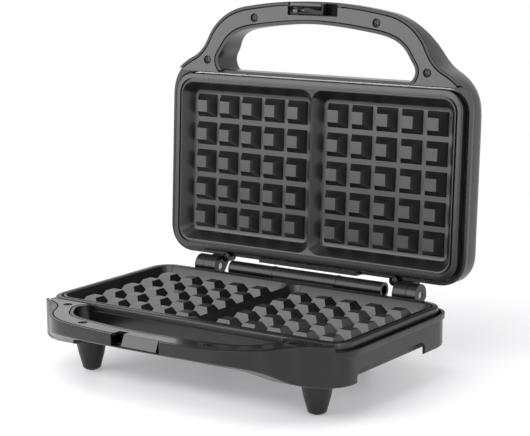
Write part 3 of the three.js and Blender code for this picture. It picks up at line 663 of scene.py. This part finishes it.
# The latch in the lid's handle, and what takes it in the base's cover: a flap, its notch and a gate
LATCH_WIDE = 0.034
LATCH_TRAVEL = frame["joints"][1]["range_m"][1]
LATCH_LEFT = -0.0263
LATCH_RIGHT = LATCH_LEFT + LATCH_WIDE + LATCH_TRAVEL + 0.0012
LATCH_DEEP = 0.0115
LATCH_BED = 0.0082
FLAP = (-0.0220, 0.0175)
NOTCH = (-0.0256, 0.0205)
OPENING = (-0.0262, 0.0212)
GATE = (0.0113, 0.0202)
TOOTH = (-0.0183, -0.0133)
CLAW_LOW = 0.0044
CLAW_TOP = 0.0030
GRIP_SHY = 0.0012
LATCH_PLAY = 0.0004
# Hinge lugs, pins, bosses and screws
EAR_IN = 0.1032
EAR_T = 0.0094
EAR_R = 0.0093
PIN_R = 0.003
REAR_LIP_HALF = 0.050
REAR_LIP_OUT = 0.0012
BORE_CLEAR = 0.00025
BOSS_X = 0.0859
BOSS_R = 0.0043
BOSS_Y = PLATE_Y + GAP + BOSS_R
HEAD_R = 0.0031
SCREW_R = 0.0015
SCREW_FACE = FACE + 0.0003
SCREW_LONG = 0.0072
BOSS_FACE = 0.0014
BOSS_SCREW_LONG = 0.0075
CROSS_LONG = 0.0021
CROSS_WIDE = 0.00052
COVER_SCREWS = [(0.1103, -HALF_D - 0.0085), (0.0611, FRONT + 0.0155)]
LENS_X = 0.016
LENS_Y = -0.0342
LENS_HOLE_R = 0.004
FOOT_R = 0.0078

base_depth = depth_curve(BASE_H)
lid_rise = depth_curve(0.034)


def lid_depth(y):
    return lid_rise(y) + 0.005 * ease(-HALF_D - 0.008, -HALF_D + 0.030, y)


def on_body(y):
    return ease(-HALF_D - 0.030, -HALF_D + 0.010, y)


def common_cuts(depth, hole_edge):
    """What is taken out of either casing: the finger opening, the plate's seat and the handle's channel."""
    span = HALF_W + 0.01
    seat = block(-span, span, -HALF_D - 0.0001, HALF_D + 0.02, -0.01, FLANGE_TOP)
    channel = prism(handle_loop(WALL, WALL, -HALF_D + 0.0003), -0.002, HANDLE_T - WALL)
    recess = prism(mirrored(corner_half(HALF_W - FLANGE_W, ROOM_Y, ROOM_R)), -0.003, FLANGE_LOW - 0.002)
    return [finger_hole(depth, hole_edge), seat, channel, recess]


def hinge_ears(x0, x1, bury, reach):
    """A pair of lugs from the rear wall to the hinge pin."""
    loop = [(HALF_D + bury, FLANGE_LOW), (HINGE_Y - EAR_R + 0.0012, 0.0015)]
    start = math.pi - 0.2
    turns = 24
    for k in range(turns + 1):
        a = start + (2 * math.pi - start) * k / turns
        loop.append((HINGE_Y + EAR_R * math.cos(a), EAR_R * math.sin(a)))
    loop += [(HINGE_Y + EAR_R, 0.003), (HALF_D + bury, reach)]
    return [side_prism(loop, x0, x1), side_prism(loop, -x1, -x0)]


def rod(x, y, z0, z1, r, steps=32):
    return turned([(0, z0), (r, z0), (r, z1), (0, z1)], (x, y, 0), steps=steps)


def rod_x(x0, x1, r, steps=40):
    return turned([(0, x0), (r, x0), (r, x1), (0, x1)], (0, HINGE_Y, 0), "X", steps)


def build_base_shell():
    shell = casing(base_depth, lambda y: BASE_ROUND, lambda y: BASE_ROUND, 0.0)
    room = prism(mirrored(corner_half(ROOM_X, ROOM_Y, ROOM_R)), -0.002, BASE_H + 0.005)
    shell = cut(shell, *common_cuts(base_depth, lambda y: BASE_ROUND), room)
    span = HALF_W + 0.01
    notch = block(*NOTCH, FRONT - 0.005, FRONT + 0.0056, -0.01, 0.0093)
    shell = cut(shell, side_prism(side_arch(), -span, span), notch)
    shell = join(shell, *hinge_ears(EAR_IN + 0.0004, EAR_IN + EAR_T, -0.001, 0.021))
    shell = cut(shell, rod_x(-HALF_W, HALF_W, PIN_R + BORE_CLEAR))
    finish_piece(shell, "lower_casing", "base", ["base_shell"], "shell_plastic", 0.00035)


ARCH_FRONT = -0.062
ARCH_REAR = 0.0375
ARCH_TALL = 0.011


def side_arch():
    """Side opening in the skirt between its two lobes, with round upper corners."""
    r = 0.006
    top = BASE_H - ARCH_TALL
    loop = []
    for cy, cz, start in ((ARCH_REAR - r, top + r, 0), (ARCH_FRONT + r, top + r, 90)):
        for k in range(9):
            a = math.radians(start + 90 * k / 8)
            loop.append((cy + r * math.cos(a), cz - r * math.sin(a)))
    return loop + [(ARCH_FRONT, BASE_H + 0.01), (ARCH_REAR, BASE_H + 0.01)]


def build_lid_shell():
    shell = casing(lid_depth, lambda y: mix(HANDLE_ROUND, DOME_R, on_body(y)),
                   lambda y: mix(HANDLE_ROUND, DOME_H, on_body(y)), CROWN)
    hollows = common_cuts(lid_depth, lambda y: mix(HANDLE_ROUND, HOLE_ROUND, on_body(y)))
    shell = cut(shell, *hollows, lid_room())
    rear = block(-REAR_LIP_HALF, REAR_LIP_HALF, HALF_D - WALL, HALF_D + REAR_LIP_OUT,
                 FACE + 0.0002, FLANGE_LOW)
    bed = block(LATCH_LEFT - 0.002, LATCH_RIGHT + 0.002, FRONT + 0.001, FRONT + 0.0135,
                FACE + COVER_T + GAP, 0.0085)
    bosses = [rod(k * BOSS_X, BOSS_Y, 0.0006, 0.010, BOSS_R) for k in (-1, 1)]
    ears = hinge_ears(EAR_IN - 0.0126, EAR_IN, -0.001, 0.017)
    shell = join(shell, rear, bed, *bosses, *ears)
    rib = 0.0005
    floor = [(FRONT + 0.0015 + k * rib, LATCH_BED + rib * (k % 2)) for k in range(20)]
    before = FRONT - 0.005
    behind = FRONT + LATCH_DEEP
    outline = [(before, -0.005), (before, LATCH_BED), *floor, (behind, LATCH_BED), (behind, -0.005)]
    room = side_prism(outline, LATCH_LEFT, LATCH_RIGHT)
    seats = [rod(k * BOSS_X, BOSS_Y, -0.001, 0.0028, HEAD_R + 0.0002) for k in (-1, 1)]
    windows = [rod(k * LENS_X, LENS_Y, LID_H - 0.008, LID_H + 0.004, LENS_HOLE_R) for k in (-1, 1)]
    shell = cut(shell, room, *seats, *windows, rod_x(-HALF_W, HALF_W, PIN_R + BORE_CLEAR))
    finish_piece(shell, "upper_casing", "lid", ["lid_shell"], "shell_plastic", 0.00035)


def lid_room():
    """Hollow of the lid, domed like its outside."""
    wall = corner_half(ROOM_X, ROOM_Y, ROOM_R)
    rise = LID_H - ROOM_STRAIGHT - ROOF

    def loop(inset, z):
        return [Vector((x * (HALF_W - inset) / HALF_W, y * (HALF_D - inset) / HALF_D, z))
                for x, y in mirrored(wall)]

    levels = [loop(0, -0.002), loop(0, ROOM_STRAIGHT)]
    for k in range(1, 7):
        a = math.pi / 2 * k / 7
        levels.append(loop(DOME_R * (1 - math.cos(a)), ROOM_STRAIGHT + rise * math.sin(a)))
    levels.append(loop(0.05, LID_H - WALL - 0.0005))
    return ring_skin(levels)


# ---------------------------------------------------------------------------
# Handle covers
# ---------------------------------------------------------------------------
def cover_plate():
    border = WALL + COVER_SHY
    cover = prism(handle_loop(border, border, -PLATE_Y - 0.002), FACE, FACE + COVER_T)
    spots = [(k * x, y) for x, y in COVER_SCREWS for k in (-1, 1)]
    sinks = [rod(x, y, -0.002, FACE + 0.0018, HEAD_R + 0.0006) for x, y in spots]
    return cut(cover, *sinks)


def build_base_cover():
    cover = cover_plate()
    ramp = [(FRONT + 0.0052, FACE), (FRONT + 0.0075, FACE), (FRONT + 0.0050, 0.0089),
            (FRONT + 0.0012, 0.0089)]
    opening = block(*OPENING, FRONT - 0.001, FRONT + 0.0052, -0.005, 0.005)
    gate = block(*GATE, FRONT, FRONT + 0.0114, -0.005, 0.009)
    cover = join(cut(cover, opening), side_prism(ramp, *FLAP))
    cover = cut(cover, gate)
    finish_piece(cover, "lower_handle_plate", "base", ["base_handle_cover"], "cover_gloss", 0.0004, 3)


def build_lid_cover():
    cover = cover_plate()
    window = block(LATCH_LEFT - GAP, LATCH_RIGHT + GAP, FRONT - 0.001, FRONT + LATCH_DEEP + GAP,
                   -0.005, 0.009)
    cover = cut(cover, window)
    finish_piece(cover, "upper_handle_plate", "lid", ["lid_handle_cover"], "cover_gloss", 0.0004, 3)


# ---------------------------------------------------------------------------
# Cooking plates
# ---------------------------------------------------------------------------
CAVITY_DEEP = 0.0111
RIM_W = 0.0046
CHANNEL_W = 0.0017
LAND_X = 0.0012
LAND_Y = 0.0019
LIP_X = PLATE_X - RIM_W - CHANNEL_W - LAND_X
LIP_Y = PLATE_Y - RIM_W - CHANNEL_W - LAND_Y
RUN = 0.627 * (CAVITY_DEEP - FACE)
FLOOR_X = LIP_X - RUN
FLOOR_Y = LIP_Y - RUN
FLOOR_IN = RUN
RIM_H = 0.0063
UNDER = 0.0146
BUMPS = 5
BUMP = 0.0201
BUMP_TOP = 0.0102
BUMP_H = 0.0089
EDGE = 0.0035


def cornered(x0, x1, y0, y1, r, z, steps=10):
    """A whole rectangle with round corners at one height."""
    points = []
    corners = ((x1 - r, y0 + r, -90), (x1 - r, y1 - r, 0), (x0 + r, y1 - r, 90), (x0 + r, y0 + r, 180))
    for cx, cy, start in corners:
        for i in range(steps + 1):
            a = math.radians(start + 90 * i / steps)
            points.append(Vector((cx + r * math.cos(a), cy + r * math.sin(a), z)))
    return points


def centred(x, y, r, z):
    return cornered(-x, x, -y, y, r, z)


def cavity(side):
    """Cutter for one waffle cavity: a round lip edge, drafted walls and a filleted floor."""
    def level(grow, t, z):
        x0 = mix(-0.0004, FLOOR_IN, t) - grow
        x1 = mix(LIP_X, FLOOR_X, t) + grow
        y = mix(LIP_Y, FLOOR_Y, t) + grow
        loop = cornered(x0, x1, -y, y, mix(0.011, 0.006, t) + grow, z)
        return [Vector((side * p.x, p.y, p.z)) for p in loop]

    top = 0.0008
    levels = [level(top, 0, FACE - 0.003), level(top, 0, FACE)]
    for k in range(1, 4):
        a = math.pi / 2 * k / 4
        levels.append(level(top * (1 - math.sin(a)), 0.02 * k / 4, FACE + top * (1 - math.cos(a))))
    low = 0.0016
    levels.append(level(0, 0.84, mix(FACE, CAVITY_DEEP, 0.84)))
    for k in range(1, 5):
        a = math.pi / 2 * k / 4
        t = mix(0.84, 1.0, math.sin(a) * 0.9)
        deep = mix(CAVITY_DEEP - low, CAVITY_DEEP, math.sin(a))
        levels.append(level(-low * 0.55 * (1 - math.cos(a)), t, deep))
    return ring_skin(levels)


def bumps():
    """The grid of blunt pyramids that print the waffle."""
    step_x = (FLOOR_X - FLOOR_IN - 2 * EDGE - BUMP) / (BUMPS - 1)
    step_y = (2 * FLOOR_Y - 2 * EDGE - BUMP) / (BUMPS - 1)
    top = CAVITY_DEEP - BUMP_H
    low = CAVITY_DEEP + 0.0008
    bm = bmesh.new()
    for side in (-1, 1):
        for i in range(BUMPS):
            for j in range(BUMPS):
                x = side * (FLOOR_IN + EDGE + BUMP / 2 + i * step_x)
                y = -FLOOR_Y + EDGE + BUMP / 2 + j * step_y
                rings = []
                for r, z in ((BUMP_TOP / 2, top), (BUMP / 2, CAVITY_DEEP), (BUMP / 2, low)):
                    rings.append([bm.verts.new((x + u * r, y + v * r, z))
                                  for u, v in ((-1, -1), (1, -1), (1, 1), (-1, 1))])
                bm.faces.new(rings[0])
                bm.faces.new(rings[-1])
                for ring, below in zip(rings, rings[1:]):
                    for k in range(4):
                        bm.faces.new((ring[k], ring[k - 1], below[k - 1], below[k]))
    return to_object(bm, "tool")


def cast_plate():
    wall = PLATE_X, PLATE_Y, 0.018

    def rim(inset, z):
        x, y, r = wall
        return centred(x - inset, y - inset, r - inset, z)

    dish_low = UNDER - 0.002
    levels = [rim(0.0013, FACE), rim(0.0007, FACE + 0.00015), rim(0.0002, FACE + 0.0006),
              rim(0, FACE + 0.0013),
              rim(0, RIM_H - 0.0004), rim(0.0004, RIM_H), rim(0.0022, RIM_H), rim(0.0026, RIM_H - 0.0004),
              rim(0.0026, FACE + 0.0035), rim(0.0031, FACE + 0.003),
              centred(LIP_X + 0.003, LIP_Y + 0.003, 0.014, FACE + 0.0033),
              centred(FLOOR_X + 0.0035, FLOOR_Y + 0.0035, 0.0105, dish_low),
              centred(FLOOR_X + 0.002, FLOOR_Y + 0.002, 0.009, UNDER)]
    body = ring_skin(levels)
    land_x = LIP_X + LAND_X
    land_y = LIP_Y + LAND_Y
    out_x = land_x + CHANNEL_W
    out_y = land_y + CHANNEL_W
    channel = ring_skin([centred(out_x, out_y, 0.0135, z) for z in (FACE - 0.002, FACE + 0.0021)])
    island = ring_skin([centred(land_x, land_y, 0.012, z) for z in (FACE - 0.003, FACE + 0.004)])
    channel = cut(channel, island)
    body = cut(body, channel, cavity(1), cavity(-1))
    ridge = block(-0.0010, 0.0010, -LIP_Y + 0.004, LIP_Y - 0.004, 0.0022, UNDER - 0.001)
    return join(body, ridge, bumps())


def build_plates():
    plate = cast_plate()
    for half, body in (("lower", "base"), ("upper", "lid")):
        name = f"{half}_grid_plate"
        copy = bpy.data.objects.new(name, plate.data.copy())
        bpy.context.scene.collection.objects.link(copy)
        finish_piece(copy, name, body, [f"{half}_plate"], "coated_plate", 0.0005, 3, 30)
    bpy.data.objects.remove(plate)


# ---------------------------------------------------------------------------
# Small pieces
# ---------------------------------------------------------------------------
def cross_screw(x, y, face, length):
    """Pan-head screw with a cross recess; its head faces the parting plane."""
    crown = 0.0004
    profile = [(0, face), (0.0016, face + 0.00005), (0.0025, face + crown / 2),
               (HEAD_R - 0.0001, face + crown * 1.6),
               (HEAD_R, face + 0.0010), (HEAD_R, face + 0.0013), (SCREW_R, face + 0.0013),
               (SCREW_R, face + length - 0.001), (0.0007, face + length), (0, face + length)]
    body = turned(profile, (x, y, 0), steps=36)
    wings = []
    for long, wide in ((CROSS_LONG, CROSS_WIDE), (CROSS_WIDE, CROSS_LONG)):
        wings.append(block(x - long, x + long, y - wide, y + wide, face - 0.001, face + 0.0009))
    return cut(body, *wings)


def build_screws():
    for side, k in (("left", -1), ("right", 1)):
        for i, (x, y) in enumerate(COVER_SCREWS, 1):
            base = cross_screw(-k * x, y, SCREW_FACE, SCREW_LONG)
            finish_piece(base, f"lower_cover_screw_{side}_{i}", "base", [f"base_cover_screw_{side}_{i}"],
                         "screw_steel", 0.00008, 1)
            lid = cross_screw(k * x, y, SCREW_FACE, SCREW_LONG)
            finish_piece(lid, f"upper_cover_screw_{side}_{i}", "lid", [f"lid_cover_screw_{side}_{i}"],
                         "screw_steel", 0.00008, 1)
        rear = cross_screw(k * BOSS_X, BOSS_Y, BOSS_FACE, BOSS_SCREW_LONG)
        finish_piece(rear, f"boss_screw_{side}", "lid", [f"lid_rear_screw_{side}"], "screw_steel", 0.00008, 1)


def build_feet():
    for end in ("front", "rear"):
        for side in ("left", "right"):
            node = f"foot_{end}_{side}"
            low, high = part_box(node)
            x = (low.x + high.x) / 2
            y = (low.y + high.y) / 2
            r = (high.x - low.x) / 2
            top = high.z
            profile = [(0, top), (r - 0.0006, top), (r, top - 0.0006), (r - 0.0002, top - 0.002),
                       (FOOT_R + 0.0030, 0.0150), (FOOT_R, 0.0040), (FOOT_R - 0.0002, 0.0028),
                       (FOOT_R - 0.0009, 0.0018), (FOOT_R - 0.0018, 0.0012),
                       (FOOT_R - 0.0028, 0.0009), (0.0039, 0.0018), (0, 0.0018)]
            foot = turned(profile, (x, y, 0), steps=64)
            finish_piece(foot, f"leg_{end}_{side}", "base", [node], "dark_plastic", 0.0, placed=False)
            edge = [(0, 0), (0.0031, 0), (0.0035, 0.0004), (0.0036, 0.0015), (0, 0.0015)]
            pad = turned(edge, (x, y, 0), steps=48)
            finish_piece(pad, f"pad_{end}_{side}", "base", [f"foot_pad_{end}_{side}"], "rubber", 0.0,
                         placed=False)


def build_latch():
    left = LATCH_LEFT + LATCH_PLAY
    right = left + LATCH_WIDE
    grip_left = left + GRIP_SHY
    grip_right = right - GRIP_SHY
    bar = block(left, right, FRONT + 0.0014, FRONT + 0.0112, 0.0016, LATCH_BED - GAP, 0.0009, 3)
    grip = block(grip_left, grip_right, FRONT + 0.0012, FRONT + 0.0046, 0.0003, 0.0030, 0.0006, 3)
    tooth = block(*TOOTH, FRONT + 0.0066, FRONT + 0.0086, -CLAW_LOW, 0.003, 0.0003, 2)
    claw = block(*TOOTH, FRONT + 0.0068, FRONT + 0.0108, -CLAW_LOW, -CLAW_TOP, 0.0003, 2)
    bar = join(bar, grip, tooth, claw)
    finish_piece(bar, "latch_bar", "latch", ["latch_slider"], "latch_plastic", 0.0)


def build_barrel():
    """Hollow barrel between the lid's lugs, on a web from the base; the lid's wires run through it."""
    r = HINGE_OUT - BARREL_CLEAR
    tube = rod_x(-BARREL_HALF, BARREL_HALF, r, 56)
    rings = [rod_x(x - 0.001, x + 0.001, r + 0.0004, 56) for x in (-BARREL_RING, BARREL_RING)]
    web = block(-BARREL_WEB, BARREL_WEB, HALF_D + GAP, HINGE_Y + 0.003, 0.002, 0.015, 0.0006, 2)
    tube = cut(join(tube, *rings, web), rod_x(-HALF_W, HALF_W, BARREL_BORE))
    finish_piece(tube, "hinge_barrel", "base", ["wire_tunnel"], "shell_plastic", 0.0003)


def softened(node, name, edge, segments=2, angle=32):
    """A copy of a CAD node with its doubles merged, flat faces joined and its edges rounded."""
    bm = bmesh.new()
    bm.from_mesh(frame["nodes"][node].data)
    bmesh.ops.remove_doubles(bm, verts=bm.verts, dist=1e-6)
    bmesh.ops.dissolve_limit(bm, angle_limit=math.radians(0.6), verts=bm.verts, edges=bm.edges)
    made = to_object(bm, "tool")
    return finish_piece(made, name, BODIES[node], [node], SLOTS[node], edge, segments, angle, placed=False)


def dress_the_rest():
    """Every CAD node still shown gets its slot's finish."""
    for node, shown in frame["nodes"].items():
        if not shown.hide_render:
            shown.data.materials.clear()
            shown.data.materials.append(MATERIALS[SLOTS[node]])


build_base_shell()
build_lid_shell()
build_base_cover()
build_lid_cover()
build_plates()
build_screws()
build_feet()
build_latch()
build_barrel()
softened("base_pan", "underside_pan", 0.0004)
dress_the_rest()


# ---------------------------------------------------------------------------
# Floor, light and camera
# ---------------------------------------------------------------------------
# Light panels: name, azimuth in degrees from the front, height, distance, width, height of the panel, glow
PANELS = (
    ("key_panel", -36, 0.85, 1.9, 1.9, 1.7, 3.2),
    ("front_top_panel", 5, 2.1, 1.2, 1.5, 1.5, 2.2),
    ("rear_top_panel", 150, 2.2, 1.0, 1.2, 1.2, 1.2),
    ("edge_strip", 58, 1.0, 2.4, 0.3, 1.6, 9.0),
)
FLOOR_HALF = 1.5
VIEW_AZIMUTH = math.radians(35.74)
VIEW_ELEVATION = math.radians(11.74)
VIEW_ROLL = math.radians(-0.62)
VIEW_DISTANCE = 1.2664
VIEW_AIM = Vector((0.07754, -0.09365, 0.13323))
LENS = 117.17
SHIFT = (0.0248, 0.0488)


def build_studio():
    """A white floor that fades into a white room, greyer overhead; tall panels stand at both front sides."""
    f = Finish("studio_floor")
    far = f.node("ShaderNodeVectorMath", {"operation": "LENGTH"},
                 {"Vector": f.node("ShaderNodeTexCoord", output="Object")}, output="Value")
    shade = f.tint(f.noise(2.0, 1.0), (0.86, 0.86, 0.87), (0.89, 0.89, 0.9))
    fade = f.ramp(far, (0.35, 1.0), (0.9, 0.0))
    material = f.surface(Base_Color=shade, Roughness=0.5, Alpha=fade, Emission_Color=(0.97, 0.97, 1, 1),
                         Emission_Strength=0.22)
    bm = bmesh.new()
    bmesh.ops.create_grid(bm, x_segments=1, y_segments=1, size=FLOOR_HALF)
    floor = to_object(bm, "floor")
    floor.data.materials.append(material)

    world = bpy.data.worlds.new("pale_room")
    world.use_nodes = True
    sky = Shader(world.node_tree)
    height = sky.node("ShaderNodeSeparateXYZ", None,
                      {"Vector": sky.node("ShaderNodeTexCoord", output="Generated")}, output="Z")
    glow = sky.node("ShaderNodeBackground", None, {"Color": sky.ramp(height, (0.3, 1.0), (0.65, 0.5))})
    sky.node("ShaderNodeOutputWorld", None, {"Surface": glow})
    bpy.context.scene.world = world
    bpy.context.scene.view_settings.view_transform = "Standard"

    centre = (CAD_LOW + CAD_HIGH) / 2
    for name, azimuth, height, distance, wide, tall, glow in PANELS:
        light = bpy.data.lights.new(name, "AREA")
        light.shape = "RECTANGLE"
        light.size = wide
        light.size_y = tall
        light.energy = glow * math.pi * wide * tall
        lamp = bpy.data.objects.new(name, light)
        a = math.radians(azimuth)
        lamp.location = (math.sin(a) * distance, -math.cos(a) * distance, height)
        lamp.rotation_euler = (centre - lamp.location).to_track_quat("-Z", "Y").to_euler()
        bpy.context.scene.collection.objects.link(lamp)


def build_camera():
    """A long lens, looking a little down from the right."""
    level = math.cos(VIEW_ELEVATION)
    back = Vector((math.sin(VIEW_AZIMUTH) * level, -math.cos(VIEW_AZIMUTH) * level, math.sin(VIEW_ELEVATION)))
    data = bpy.data.cameras.new("view")
    data.sensor_width = 36
    data.lens = LENS
    data.shift_x, data.shift_y = SHIFT
    camera = bpy.data.objects.new("view", data)
    turn = (-back).to_track_quat("-Z", "Y").to_matrix().to_4x4() @ Matrix.Rotation(VIEW_ROLL, 4, "Z")
    camera.matrix_world = Matrix.Translation(VIEW_AIM + back * VIEW_DISTANCE) @ turn
    bpy.context.scene.collection.objects.link(camera)
    bpy.context.scene.camera = camera


build_studio()
build_camera()
